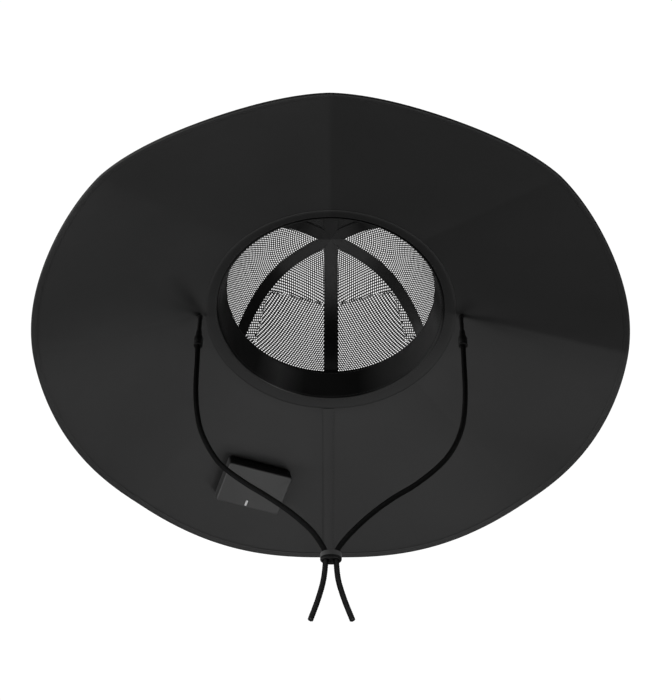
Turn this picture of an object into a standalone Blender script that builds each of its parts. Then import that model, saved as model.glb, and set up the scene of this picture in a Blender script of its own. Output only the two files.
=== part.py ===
# Solar panel hat: a wide brim in eight facets round a crown of net, with solar panels on the
# brim, a power box under its back and a chin cord with a cord lock.
# +Z is up and -Y is the front. The origin is the centre of the sweatband's lower edge, where
# a head carries the hat. Sizes are in metres, written as millimetres times MM.

import math

import bmesh
import bpy
import numpy as np
from mathutils import Matrix, Vector

MM = 0.001

# Clearances
PIECE_GAP = 0.3 * MM
NET_GAP = 0.35 * MM
BOX_GAP = 0.45 * MM
CORD_GAP = 0.4 * MM

# Crown: the datum surface is the inner face of the seam tapes
CROWN_HALF_WIDTH = 87.65 * MM
CROWN_HALF_LENGTH = 94.7 * MM
CROWN_HEIGHT = 86.8 * MM
CROWN_SIDE_POWER = 3.3
CROWN_TOP_POWER = 1.3
GORES = 6
FIRST_SEAM = math.radians(90)
SEAM_WIDTH = 0.4 * MM
NET_THICKNESS = 1.0 * MM
NET_EYE_RADIUS = 4.0 * MM
TAPE_WIDTH = 11.5 * MM
TAPE_THICKNESS = 0.8 * MM
TAPE_TIP_RADIUS = 1.6 * MM
TAPE_TUCK = 12.0 * MM
BAND_HEIGHT = 24.5 * MM
SWEATBAND_THICKNESS = 1.5 * MM
CROWN_BAND_THICKNESS = 1.2 * MM

# Brim: sizes are those of its underside, from the opening to the edge
BRIM_HALF_WIDTH = 223.2 * MM
BRIM_HALF_LENGTH = 239.8 * MM
BRIM_THICKNESS = 1.8 * MM
SIDE_DROOP = 45.8 * MM
FRONT_DROOP = 48.2 * MM
BACK_DROOP = 43.3 * MM
FACETS = 8
FOLD_DROP = 4.8 * MM
FOLD_DRAW = 1.8 * MM
FOLD_ROUNDNESS = 1.4
BINDING_THICKNESS = 0.6 * MM
BINDING_DEPTH = 4.0 * MM
COLLAR_WIDTH = 9.0 * MM
COLLAR_THICKNESS = 1.0 * MM
COLLAR_INSET = 0.6 * MM
SEAM_STRIP_WIDTH = 10.8 * MM
SEAM_STRIP_THICKNESS = 0.8 * MM
SEAM_STRIP_SHIFT = -2.0 * MM

# Solar panels, on top of the brim
PANEL_THICKNESS = 1.2 * MM
PANEL_FROM_OPENING = 24.0 * MM
PANEL_FROM_EDGE = 12.0 * MM
PANEL_FROM_FOLD = 4.0 * MM

# Power box, under the facet beside the back seam
BOX_LENGTH = 54.0 * MM
BOX_WIDTH = 36.5 * MM
BOX_DEPTH = 12.0 * MM
BOX_ANGLE = math.radians(112.95)
BOX_SHARE = 0.5759
BOX_EDGE_RADIUS = 1.2 * MM
WINDOW_WIDTH = 1.8 * MM
WINDOW_LENGTH = 5.0 * MM
WINDOW_DEPTH = 0.8 * MM
WINDOW_FROM_EDGE = 1.5 * MM
WINDOW_SHIFT = -1.9 * MM

# Chin cord
CORD_DIAMETER = 4.0 * MM
CONNECTOR_LENGTH = 16.2 * MM
CONNECTOR_DIAMETER = 7.0 * MM
CONNECTOR_NECK = 4.6 * MM
LOCK_LENGTH = 14.7 * MM
LOCK_WIDTH = 9.4 * MM
LOCK_HEIGHT = 6.8 * MM
LOCK_CENTRE = (0.7 * MM, -243.9 * MM)
LOCK_HOLE_SPACING = 7.3 * MM
LOCK_EDGE_RADIUS = 1.2 * MM

# The connector's profile down its outer side, as shares of its radius beyond the neck and of
# its length
CONNECTOR_PROFILE = ((0.0, 0.0), (0.06, 0.30), (0.95, 0.48), (1.0, 0.62), (1.0, 0.90), (0.72, 1.0))

# Each cord's route in the plane Y = 0, as X and Z in millimetres, from its connector, through
# the cord lock and down to its free end
CORD_ROUTES = {
    "left": (
        (-100.2, -37.6), (-99.9, -57), (-99.5, -79), (-97.7, -103), (-93.4, -125.6), (-85.6, -145.3),
        (-76.5, -160.3), (-60.7, -175.7), (-43.4, -189.6), (-27.4, -203.8), (-13.2, -219.7),
        (-5.4, -233.6), (-2.95, -241), (-2.95, -248.5), (-4.3, -263.9), (-7.8, -280.3),
        (-12.6, -297.1),
    ),
    "right": (
        (100.2, -37.6), (99.9, -57.5), (99.6, -79.4), (98.2, -102.8), (94.8, -124.4), (87.6, -144.3),
        (77.2, -160.4), (60.5, -177.8), (43.7, -191.1), (29.0, -205.1), (15.9, -220.6),
        (7.2, -233.6), (4.35, -241), (4.35, -248.5), (5.7, -264), (9.7, -280.7),
        (14.9, -297.3),
    ),
}

# How finely the curved faces are cut
STEPS_PER_GORE = 8
CROWN_STATIONS = 12
BAND_STATIONS = 3
STEPS_PER_FACET = 8
BRIM_STATIONS = 6
PANEL_COLUMNS = 7
STUB_STATIONS = 3
CONNECTOR_SEGMENTS = 12
LOCK_SEGMENTS = 24
EDGE_SEGMENTS = 2
CORD_RESOLUTION = 3
NORMAL_STEP = 1e-3

# Edges steeper than these are kept sharp or are rounded
SHARP_ANGLE = math.radians(35)
EDGE_ANGLE = math.radians(40)

COLOURS = {
    "brim_cloth": ((0.022, 0.022, 0.023), 0.75, 0.0),
    "band_satin": ((0.008, 0.008, 0.009), 0.45, 0.0),
    "tape_black": ((0.014, 0.014, 0.015), 0.6, 0.0),
    "net_black": ((0.02, 0.02, 0.02), 0.6, 0.0),
    "panel_cell": ((0.008, 0.01, 0.02), 0.25, 0.0),
    "box_shell": ((0.045, 0.045, 0.046), 0.5, 0.0),
    "window_white": ((0.9, 0.9, 0.9), 0.3, 0.0),
    "cord_black": ((0.01, 0.01, 0.01), 0.6, 0.0),
    "clip_grey": ((0.03, 0.03, 0.03), 0.4, 0.0),
}


def clear_scene():
    for thing in list(bpy.data.objects):
        bpy.data.objects.remove(thing, do_unlink=True)


def make_collection(name):
    collection = bpy.data.collections.new(name)
    bpy.context.scene.collection.children.link(collection)
    return collection


def make_material(name):
    colour, roughness, metallic = COLOURS[name]
    material = bpy.data.materials.get(name)
    if material is None:
        material = bpy.data.materials.new(name)
        material.use_nodes = True
        shader = material.node_tree.nodes["Principled BSDF"]
        shader.inputs["Base Color"].default_value = (*colour, 1.0)
        shader.inputs["Roughness"].default_value = roughness
        shader.inputs["Metallic"].default_value = metallic
        material.diffuse_color = (*colour, 1.0)
    return material


def mesh_object(name, mesh, material, collection):
    made = bpy.data.objects.new(name, mesh)
    collection.objects.link(made)
    mesh.materials.clear()
    mesh.materials.append(make_material(material))
    return made


# A sheet laid through rows of points, closed round or open, that Solidify makes solid. The
# rows run so that the faces look to the side where the thickness grows.
def sheet(name, rows, closed, thickness, material, collection):
    build = bmesh.new()
    grid = [[build.verts.new(point) for point in row] for row in rows]
    columns = len(rows[0])
    last = columns if closed else columns - 1
    for low, high in zip(grid, grid[1:]):
        for i in range(last):
            j = (i + 1) % columns
            build.faces.new((low[i], low[j], high[j], high[i]))
    mesh = bpy.data.meshes.new(name)
    build.to_mesh(mesh)
    build.free()
    made = mesh_object(name, mesh, material, collection)
    solid = made.modifiers.new("thickness", "SOLIDIFY")
    solid.thickness = thickness
    solid.offset = 1.0
    solid.use_even_offset = True
    mesh.shade_smooth()
    mesh.set_sharp_from_angle(angle=SHARP_ANGLE)
    return made


def steps(first, last, count):
    return [first + (last - first) * i / (count - 1) for i in range(count)]


# Crown

def crown_at(angle, rise):
    share = math.cos(rise) ** (2 / CROWN_SIDE_POWER)
    height = math.sin(rise) ** (2 / CROWN_TOP_POWER)
    return np.array((
        CROWN_HALF_WIDTH * share * math.cos(angle),
        CROWN_HALF_LENGTH * share * math.sin(angle),
        CROWN_HEIGHT * height,
    ))


# A point of the crown's datum surface, lifted outward along its normal
def crown_point(angle, rise, lift):
    low = max(rise - NORMAL_STEP, 0.0)
    high = min(rise + NORMAL_STEP, math.pi / 2)
    across = crown_at(angle + NORMAL_STEP, rise) - crown_at(angle - NORMAL_STEP, rise)
    upward = crown_at(angle, high) - crown_at(angle, low)
    normal = np.cross(across, upward)
    return crown_at(angle, rise) + normal / np.linalg.norm(normal) * lift


def rise_at_height(height):
    return math.asin((height / CROWN_HEIGHT) ** (CROWN_TOP_POWER / 2))


def rise_at_radius(radius):
    return math.acos((radius / CROWN_HALF_WIDTH) ** (CROWN_SIDE_POWER / 2))


# Length along the crown for each radian of angle, at one rise
def crown_reach(angle, rise):
    share = math.cos(rise) ** (2 / CROWN_SIDE_POWER)
    return share * math.hypot(CROWN_HALF_WIDTH * math.sin(angle), CROWN_HALF_LENGTH * math.cos(angle))


def crown_foot():
    return brim_rise() + BRIM_THICKNESS + PIECE_GAP


def net_lift():
    return TAPE_THICKNESS + NET_GAP


# The tapes and the net share these stations, from the brim up to the eye at the top, so that
# their flat facets lie parallel
def crown_rises():
    return steps(rise_at_height(crown_foot()), rise_at_radius(NET_EYE_RADIUS), CROWN_STATIONS)


def ring_angles(count):
    return [2 * math.pi * i / count for i in range(count)]


def make_band(name, low, high, lift, thickness, material, collection):
    angles = ring_angles(GORES * STEPS_PER_GORE)
    rises = steps(rise_at_height(low), rise_at_height(high), BAND_STATIONS)
    rows = [[crown_point(angle, rise, lift) for angle in angles] for rise in rises]
    return sheet(name, rows, True, thickness, material, collection)


def make_net_panel(number, collection):
    first = FIRST_SEAM + 2 * math.pi * number / GORES
    last = first + 2 * math.pi / GORES
    rows = []
    for rise in crown_rises():
        start = first + SEAM_WIDTH / 2 / crown_reach(first, rise)
        end = last - SEAM_WIDTH / 2 / crown_reach(last, rise)
        rows.append([crown_point(a, rise, net_lift()) for a in steps(start, end, STEPS_PER_GORE + 1)])
    return sheet(f"net_panel_{number + 1}", rows, False, NET_THICKNESS, "net_black", collection)


# The tapes meet at the top as a mitred star: each keeps its width down to the point where it
# fills its share of the circle
def make_seam_tape(number, collection):
    middle = FIRST_SEAM + 2 * math.pi * number / GORES
    mitre = TAPE_WIDTH / 2 / (math.pi / GORES)
    low, high = rise_at_height(TAPE_TUCK), rise_at_radius(mitre)
    rises = [low, *(rise for rise in crown_rises() if low < rise < high), high]
    rises.append(rise_at_radius(TAPE_TIP_RADIUS))
    rows = []
    for rise in rises:
        reach = crown_reach(middle, rise)
        half = min(TAPE_WIDTH / 2 / reach, math.pi / GORES) - PIECE_GAP / 2 / reach
        rows.append([crown_point(middle + turn, rise, 0.0) for turn in (-half, 0.0, half)])
    return sheet(f"seam_tape_{number + 1}", rows, False, TAPE_THICKNESS, "tape_black", collection)


# Brim

def brim_rise():
    return COLLAR_THICKNESS + PIECE_GAP


# How far a stretch between two folds has dropped: nothing at a fold, all of it halfway
def fold_wave(angle):
    return abs(math.sin(FACETS / 2 * angle)) ** FOLD_ROUNDNESS


def brim_at(angle, share):
    side, front = math.cos(angle), math.sin(angle)
    wave = fold_wave(angle)
    draw = FOLD_DRAW * wave
    droop = SIDE_DROOP * side ** 2 + (BACK_DROOP if front > 0 else FRONT_DROOP) * front ** 2
    inner = np.array((CROWN_HALF_WIDTH * side, CROWN_HALF_LENGTH * front, brim_rise()))
    outer = np.array((
        (BRIM_HALF_WIDTH - draw) * side,
        (BRIM_HALF_LENGTH - draw) * front,
        -droop - FOLD_DROP * wave,
    ))
    return inner + (outer - inner) * share


# Unit vectors at a point of the brim's underside: along the edge, outward and up
def brim_frame(angle, share):
    along = brim_at(angle + NORMAL_STEP, share) - brim_at(angle - NORMAL_STEP, share)
    outward = brim_at(angle, share + NORMAL_STEP) - brim_at(angle, share - NORMAL_STEP)
    up = np.cross(outward, along)
    along = np.cross(up, outward)
    return tuple(v / np.linalg.norm(v) for v in (along, outward, up))


def brim_point(angle, share, lift):
    return brim_at(angle, share) + brim_frame(angle, share)[2] * lift


# The share of the way from the opening to the edge that a length covers
def brim_share(angle, length):
    return length / np.linalg.norm(brim_at(angle, 1.0) - brim_at(angle, 0.0))


def brim_angles():
    return ring_angles(FACETS * STEPS_PER_FACET)


def make_brim(collection):
    rows = [[brim_point(a, share, 0.0) for a in brim_angles()] for share in steps(1.0, 0.0, BRIM_STATIONS)]
    return sheet("brim", rows, True, BRIM_THICKNESS, "brim_cloth", collection)


# A tape folded over the brim's edge
def make_binding(collection):
    rows = []
    for inward, lift in (
        (BINDING_DEPTH, BRIM_THICKNESS + PIECE_GAP),
        (-PIECE_GAP, BRIM_THICKNESS + PIECE_GAP),
        (-PIECE_GAP, -PIECE_GAP),
        (BINDING_DEPTH, -PIECE_GAP),
    ):
        rows.append([brim_point(a, 1 - brim_share(a, inward), lift) for a in brim_angles()])
    rows.reverse()
    return sheet("brim_binding", rows, True, BINDING_THICKNESS, "tape_black", collection)


# The flat tape round the opening, under the brim
def make_collar(collection):
    rows = []
    for length in (COLLAR_INSET, COLLAR_INSET + COLLAR_WIDTH):
        rows.append([brim_point(a, brim_share(a, length), -PIECE_GAP) for a in brim_angles()])
    return sheet("collar_tape", rows, True, COLLAR_THICKNESS, "tape_black", collection)


# The strip over the brim's back seam runs from the collar tape to the binding. One of its
# columns follows the fold that it covers.
def make_seam_strip(collection):
    back = math.pi / 2
    start = brim_share(back, COLLAR_INSET + COLLAR_WIDTH + PIECE_GAP)
    end = 1 - brim_share(back, BINDING_DEPTH + 2 * PIECE_GAP)
    half = SEAM_STRIP_WIDTH / 2
    rows = []
    for share in steps(start, end, BRIM_STATIONS):
        reach = brim_at(0.0, share)[0]
        row = []
        for x in (SEAM_STRIP_SHIFT + half, 0.0, SEAM_STRIP_SHIFT - half):
            row.append(brim_point(math.acos(x / reach), share, -PIECE_GAP))
        rows.append(row)
    return sheet("back_seam_tape", rows, False, SEAM_STRIP_THICKNESS, "tape_black", collection)


# Each panel fills a facet between two folds
def make_solar_panel(number, collection):
    first = 2 * math.pi * number / FACETS
    last = first + 2 * math.pi / FACETS
    lift = BRIM_THICKNESS + PIECE_GAP
    middle = (first + last) / 2
    low = brim_share(middle, PANEL_FROM_OPENING)
    high = 1 - brim_share(middle, PANEL_FROM_EDGE)
    rows = []
    for share in steps(high, low, BRIM_STATIONS - 1):
        reach = np.linalg.norm(brim_at(middle, share)[:2])
        margin = PANEL_FROM_FOLD / reach
        rows.append([brim_point(a, share, lift) for a in steps(first + margin, last - margin, PANEL_COLUMNS)])
    return sheet(f"solar_panel_{number + 1}", rows, False, PANEL_THICKNESS, "panel_cell", collection)


# Power box

def box_matrix():
    along, outward, up = (Vector(v) for v in brim_frame(BOX_ANGLE, BOX_SHARE))
    middle = Vector(brim_at(BOX_ANGLE, BOX_SHARE)) - up * (BOX_GAP + BOX_DEPTH / 2)
    turn = Matrix((-along, outward, -up)).transposed()
    return Matrix.Translation(middle) @ turn.to_4x4()


def make_block(name, size, matrix, material, collection):
    build = bmesh.new()
    bmesh.ops.create_cube(build, size=1.0)
    bmesh.ops.scale(build, vec=size, verts=build.verts)
    mesh = bpy.data.meshes.new(name)
    build.to_mesh(mesh)
    build.free()
    made = mesh_object(name, mesh, material, collection)
    made.matrix_world = matrix
    return made


def round_edges(made, radius):
    bevel = made.modifiers.new("rounded edges", "BEVEL")
    bevel.width = radius
    bevel.segments = EDGE_SEGMENTS
    bevel.limit_method = "ANGLE"
    bevel.angle_limit = EDGE_ANGLE


def cut_with(made, cutter):
    cut = made.modifiers.new(f"cut by {cutter.name}", "BOOLEAN")
    cut.operation = "DIFFERENCE"
    cut.solver = "EXACT"
    cut.object = cutter
    cutter.hide_render = True
    cutter.display_type = "WIRE"


# The box's own +Z looks down, away from the brim, and its +Y to the edge of the brim. The
# window lies in a pocket of the lower face.
def make_power_box(collection, cutters):
    place = box_matrix()
    box = make_block("power_box", (BOX_LENGTH, BOX_WIDTH, BOX_DEPTH), place, "box_shell", collection)
    round_edges(box, BOX_EDGE_RADIUS)
    from_edge = BOX_WIDTH / 2 - WINDOW_FROM_EDGE - WINDOW_LENGTH / 2
    window_place = place @ Matrix.Translation((WINDOW_SHIFT, from_edge, BOX_DEPTH / 2 - WINDOW_DEPTH / 2))
    pocket_size = (
        WINDOW_WIDTH + 2 * PIECE_GAP,
        WINDOW_LENGTH + 2 * PIECE_GAP,
        WINDOW_DEPTH + 2 * PIECE_GAP,
    )
    pocket = make_block("window_pocket", pocket_size, window_place, "clip_grey", cutters)
    cut_with(box, pocket)
    size = (WINDOW_WIDTH, WINDOW_LENGTH, WINDOW_DEPTH)
    make_block("indicator_window", size, window_place, "window_white", collection)


# Chin cord

# A smooth curve through the chosen points, with one more point halfway along each stretch
def smooth_route(points):
    ends = [2 * points[0] - points[1], *points, 2 * points[-1] - points[-2]]
    route = []
    for before, start, end, after in zip(ends, ends[1:], ends[2:], ends[3:]):
        route.append(start)
        route.append((9 * (start + end) - before - after) / 16)
    route.append(points[-1])
    return route


def make_tube(name, points, diameter, material, collection):
    curve = bpy.data.curves.new(name, "CURVE")
    curve.dimensions = "3D"
    curve.bevel_depth = diameter / 2
    curve.bevel_resolution = CORD_RESOLUTION
    curve.use_fill_caps = True
    spline = curve.splines.new("POLY")
    spline.points.add(len(points) - 1)
    for target, point in zip(spline.points, points):
        target.co = (*point, 1.0)
    made = bpy.data.objects.new(name, curve)
    collection.objects.link(made)
    curve.materials.append(make_material(material))
    return made


# Where a side's cord starts, under its connector
def cord_start(side):
    x, z = CORD_ROUTES[side][0]
    return x * MM, z * MM


def connector_span(side):
    bottom = cord_start(side)[1] + PIECE_GAP
    return bottom, bottom + CONNECTOR_LENGTH


# A short end of cord that comes out of the brim and goes into the connector
def make_stub(name, side, collection):
    x = cord_start(side)[0]
    outermost = abs(x) + CORD_DIAMETER / 2
    angle = 0.0 if x > 0 else math.pi
    share = (outermost - CROWN_HALF_WIDTH) / (BRIM_HALF_WIDTH - CROWN_HALF_WIDTH)
    top = brim_at(angle, share)[2] - PIECE_GAP
    bottom = connector_span(side)[1] + PIECE_GAP
    points = [(x, 0.0, z) for z in steps(top, bottom, STUB_STATIONS)]
    return make_tube(name, points, CORD_DIAMETER, "cord_black", collection)


# A turned sleeve between the stub and the cord
def make_connector(name, side, collection):
    bottom, top = connector_span(side)
    neck = CONNECTOR_NECK / 2
    swell = CONNECTOR_DIAMETER / 2 - neck
    profile = [(0.0, top)]
    profile += [(neck + swell * out, top - CONNECTOR_LENGTH * down) for out, down in CONNECTOR_PROFILE]
    profile.append((0.0, bottom))
    build = bmesh.new()
    verts = [build.verts.new((x, 0.0, z)) for x, z in profile]
    for start, end in zip(verts, verts[1:]):
        build.edges.new((start, end))
    mesh = bpy.data.meshes.new(name)
    build.to_mesh(mesh)
    build.free()
    made = mesh_object(name, mesh, "clip_grey", collection)
    made.location = (cord_start(side)[0], 0.0, 0.0)
    turned = made.modifiers.new("turned", "SCREW")
    turned.axis = "Z"
    turned.steps = CONNECTOR_SEGMENTS
    turned.render_steps = CONNECTOR_SEGMENTS
    turned.use_merge_vertices = True
    turned.merge_threshold = 0.00001
    return made


def make_cord(name, route, collection):
    points = [Vector((x, 0.0, z)) * MM for x, z in route]
    return make_tube(name, smooth_route(points), CORD_DIAMETER, "cord_black", collection)


def make_cylinder(name, radii, height, place, material, collection):
    build = bmesh.new()
    bmesh.ops.create_cone(
        build, cap_ends=True, segments=LOCK_SEGMENTS, radius1=1.0, radius2=1.0, depth=height
    )
    bmesh.ops.scale(build, vec=(radii[0], radii[1], 1.0), verts=build.verts)
    mesh = bpy.data.meshes.new(name)
    build.to_mesh(mesh)
    build.free()
    made = mesh_object(name, mesh, material, collection)
    made.location = place
    return made


# An oval stopper with a hole for each cord
def make_lock(collection, cutters):
    x, z = LOCK_CENTRE
    lock = make_cylinder(
        "cord_lock", (LOCK_LENGTH / 2, LOCK_WIDTH / 2), LOCK_HEIGHT, (x, 0.0, z), "clip_grey", collection
    )
    round_edges(lock, LOCK_EDGE_RADIUS)
    radius = CORD_DIAMETER / 2 + CORD_GAP
    for name, side in (("left", -1), ("right", 1)):
        place = (x + side * LOCK_HOLE_SPACING / 2, 0.0, z)
        hole = make_cylinder(
            f"lock_hole_{name}", (radius, radius), 2 * LOCK_HEIGHT, place, "clip_grey", cutters
        )
        cut_with(lock, hole)


def main():
    clear_scene()
    hat = make_collection("solar_panel_hat")
    cutters = make_collection("cutters")
    make_band("sweatband", 0.0, BAND_HEIGHT, -PIECE_GAP - SWEATBAND_THICKNESS,
              SWEATBAND_THICKNESS, "band_satin", hat)
    make_band("crown_band", crown_foot(), BAND_HEIGHT, net_lift() + NET_THICKNESS + PIECE_GAP,
              CROWN_BAND_THICKNESS, "brim_cloth", hat)
    for number in range(GORES):
        make_net_panel(number, hat)
        make_seam_tape(number, hat)
    make_brim(hat)
    make_binding(hat)
    make_collar(hat)
    make_seam_strip(hat)
    for number in range(FACETS):
        make_solar_panel(number, hat)
    make_power_box(hat, cutters)
    for side, route in CORD_ROUTES.items():
        make_stub(f"cord_stub_{side}", side, hat)
        make_connector(f"cord_connector_{side}", side, hat)
        make_cord(f"chin_cord_{side}", route, hat)
    make_lock(hat, cutters)


main()
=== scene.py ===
import bpy
import math
import numpy as np
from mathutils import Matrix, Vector


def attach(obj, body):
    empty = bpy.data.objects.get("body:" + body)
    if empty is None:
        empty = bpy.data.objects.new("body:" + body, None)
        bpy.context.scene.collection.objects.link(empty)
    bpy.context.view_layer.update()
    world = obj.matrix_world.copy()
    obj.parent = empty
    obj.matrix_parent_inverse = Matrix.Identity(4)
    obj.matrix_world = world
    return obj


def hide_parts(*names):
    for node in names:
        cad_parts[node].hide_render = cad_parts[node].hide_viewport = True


# A wide brimmed hat seen from below: cloth brim, net crown, chin cord and power box.
# Sizes are in millimetres, turned into metres where a mesh is made.

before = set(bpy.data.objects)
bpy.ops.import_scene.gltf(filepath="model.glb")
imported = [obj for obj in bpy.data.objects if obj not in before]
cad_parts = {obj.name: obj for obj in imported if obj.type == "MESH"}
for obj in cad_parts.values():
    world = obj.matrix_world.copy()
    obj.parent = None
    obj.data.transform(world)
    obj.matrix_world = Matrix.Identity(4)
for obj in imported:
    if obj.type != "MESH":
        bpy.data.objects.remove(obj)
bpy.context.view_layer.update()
turnFull = 2 * math.pi
print("frame loaded,", len(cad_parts), "nodes")


# Camera

camera = {"place": (0.0041, -0.9679, -1.0528), "tiltUp": 46.25, "lens": 95.44, "sensor": 36}


def addCamera(look):
    data = bpy.data.cameras.new("camera")
    data.lens = look["lens"]
    data.sensor_width = look["sensor"]
    made = bpy.data.objects.new("camera", data)
    made.location = look["place"]
    made.rotation_euler = (math.radians(90 + look["tiltUp"]), 0, 0)
    bpy.context.scene.collection.objects.link(made)
    bpy.context.scene.camera = made


addCamera(camera)
print("camera set")


# Meshes

# A piece of the hat. It may take the place of a CAD node.
def addPiece(name, mesh, material, slot, node=None):
    mesh.name = name
    made = bpy.data.objects.new(name, mesh)
    bpy.context.scene.collection.objects.link(made)
    mesh.materials.append(material)
    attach(made, "root")
    if node:
        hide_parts(node)
    return made


# One mesh from points in mm and four-cornered faces. cloth is each point's place on the cloth,
# shade how light its colour is painted there: painted light and shade.
def quadMesh(points, quads, cloth=None, sharpFrom=50, shade=1.0):
    mesh = bpy.data.meshes.new("piece")
    mesh.vertices.add(len(points))
    mesh.vertices.foreach_set("co", (points * 0.001).astype(np.float32).ravel())
    mesh.loops.add(quads.size)
    mesh.loops.foreach_set("vertex_index", quads.astype(np.int32).ravel())
    mesh.polygons.add(len(quads))
    mesh.polygons.foreach_set("loop_start", np.arange(0, quads.size, 4, dtype=np.int32))
    mesh.update(calc_edges=True)
    mesh.validate()
    mesh.shade_smooth()
    mesh.set_sharp_from_angle(angle=math.radians(sharpFrom))
    if cloth is not None:
        layer = mesh.attributes.new("clothPlace", "FLOAT_VECTOR", "POINT")
        layer.data.foreach_set("vector", cloth.astype(np.float32).ravel())
    layer = mesh.attributes.new("shade", "FLOAT", "POINT")
    layer.data.foreach_set("value", np.broadcast_to(shade, len(points)).astype(np.float32))
    return mesh


# Faces between closed rings of points; the run of rings is closed as well, or its ends may be filled
def ringFaces(stations, around, wrap, ends=True):
    rows = np.arange(stations if wrap else stations - 1)
    row, column = np.meshgrid(rows, np.arange(around), indexing="ij")
    after, beside = (row + 1) % stations, (column + 1) % around
    faces = stacked(row * around + column, row * around + beside,
                    after * around + beside, after * around + column).reshape(-1, 4)
    if ends and not wrap:
        low = np.arange(around // 2 - 1)
        first = stacked(low, around - 1 - low, around - 2 - low, low + 1)
        last = (stations - 1) * around + first[:, ::-1]
        faces = np.concatenate([faces, first, last])
    return faces


# Faces of an open grid of points
def gridFaces(rows, columns):
    row, column = np.meshgrid(np.arange(rows - 1), np.arange(columns - 1), indexing="ij")
    first = row * columns + column
    return stacked(first, first + columns, first + columns + 1, first + 1).reshape(-1, 4)


def ringMesh(rings, wrap, cloth=None, sharpFrom=50, shade=1.0):
    stations, around = rings.shape[:2]
    place = None if cloth is None else cloth.reshape(-1, 3)
    shade = np.broadcast_to(shade, (stations, around)).ravel()
    return quadMesh(rings.reshape(-1, 3), ringFaces(stations, around, wrap), place, sharpFrom, shade)


def stacked(*values):
    return np.stack(np.broadcast_arrays(*values), -1)


def stepsRound(count):
    return np.arange(count) / count * turnFull


# The faces of one small shape, again for each of its copies
def repeated(faces, copies, pointsEach):
    return (faces[None] + (np.arange(copies) * pointsEach)[:, None, None]).reshape(-1, 4)


# Several (points, faces) pairs as one
def joined(parts):
    starts = np.cumsum([0] + [len(points) for points, faces in parts[:-1]])
    return (np.concatenate([points for points, faces in parts]),
            np.concatenate([faces + start for (points, faces), start in zip(parts, starts)]))


# The cut of a tape or a sheet, as (across, lift) pairs in a ring: across runs from -1 to 1, lift
# from 0 to 1, the two edges are rounded and the faces may swell
def stripCut(count, edge=0.12, swell=0.0):
    across = np.sin(np.linspace(-0.5, 0.5, count) * math.pi) * 0.25 + np.linspace(-1, 1, count) * 0.75
    inset = edge * np.abs(across) ** 10
    low = stacked(across, inset - swell * (1 - across ** 2))
    high = stacked(across, 1 - inset + swell * (1 - across ** 2))
    return np.concatenate([low, high[::-1]])


# One ring of a rectangle with rounded corners at height z; inset draws it in
def roundedRing(half, corner, z, inset=0.0, middle=(0.0, 0.0), perCorner=7):
    x, y = half[0] - inset, half[1] - inset
    r = max(corner - inset, 0.08)
    turn = np.concatenate([np.linspace(0, math.pi / 2, perCorner) + k * math.pi / 2 for k in range(4)])
    cornerX = np.repeat([x - r, r - x, r - x, x - r], perCorner)
    cornerY = np.repeat([y - r, y - r, r - y, r - y], perCorner)
    return stacked(middle[0] + cornerX + r * np.cos(turn), middle[1] + cornerY + r * np.sin(turn), z)


# Insets and heights of a wall whose lower and upper edges are rounded
def roundedWall(low, high, edge, steps=4):
    turn = np.linspace(0, math.pi / 2, steps)
    foot = [(edge * (1 - math.sin(a)), low + edge * (1 - math.cos(a))) for a in turn]
    return foot + [(inset, low + high - z) for inset, z in foot[::-1]]


def unit(vectors):
    return vectors / np.linalg.norm(vectors, axis=-1, keepdims=True)


def lengthsAlong(points):
    return np.concatenate([[0], np.cumsum(np.linalg.norm(np.diff(points, axis=0), axis=-1))])


# Vectors given at lengths along a line, read at other lengths
def readAt(places, run, vectors):
    return np.stack([np.interp(places, run, vectors[:, axis]) for axis in range(3)], -1)


# A row of stitches along a line: each is a short thread, half sunk in the cloth
def stitchRow(line, ups, look):
    run = lengthsAlong(line)
    count = int(run[-1] // look["pitch"])
    middles = (np.arange(count) + 0.5) * run[-1] / count
    reach = np.array([-1, -0.6, 0.6, 1])
    thick = np.array([0.35, 1, 1, 0.35]) * look["thread"] / 2
    sunk = (reach ** 4 * look["thread"] * 0.4)[:, None]
    spin = stepsRound(6)
    up = unit(readAt(middles, run, ups))
    centre = readAt(middles, run, line) + up * look["proud"]
    along = unit(readAt(middles + 0.1, run, line) - readAt(middles - 0.1, run, line))
    side = unit(np.cross(along, up))
    up = np.cross(side, along)
    rings = (centre[:, None, None] + along[:, None, None] * (reach * look["length"] / 2)[:, None, None]
             + side[:, None, None] * (thick[:, None] * np.cos(spin))[..., None]
             + up[:, None, None] * (thick[:, None] * np.sin(spin) - sunk)[..., None])
    faces = ringFaces(len(reach), len(spin), False)
    return rings.reshape(-1, 3), repeated(faces, count, len(reach) * len(spin))


def addStitches(name, rows, slot):
    addPiece(name + "_stitches", quadMesh(*joined(rows), sharpFrom=80), stitchThread, slot)


# Smooth line through the points of a route
def smoothLine(points, perStretch=12):
    points = np.array(points, float)
    padded = np.concatenate([[2 * points[0] - points[1]], points, [2 * points[-1] - points[-2]]])
    line = []
    for i in range(1, len(padded) - 2):
        a, b, c, d = padded[i - 1:i + 3]
        for t in np.arange(perStretch) / perStretch:
            line.append(0.5 * (2 * b + (c - a) * t + (2 * a - 5 * b + 4 * c - d) * t ** 2
                               + (3 * b - a - 3 * c + d) * t ** 3))
    return np.array([*line, padded[-2]])


# Waves round the hat: each row is its size, how many go round, how they lean and where they start
def waves(turn, other, rows):
    return sum(size * np.sin(count * turn + lean * other + start) for size, count, lean, start in rows)


# Materials

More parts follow.
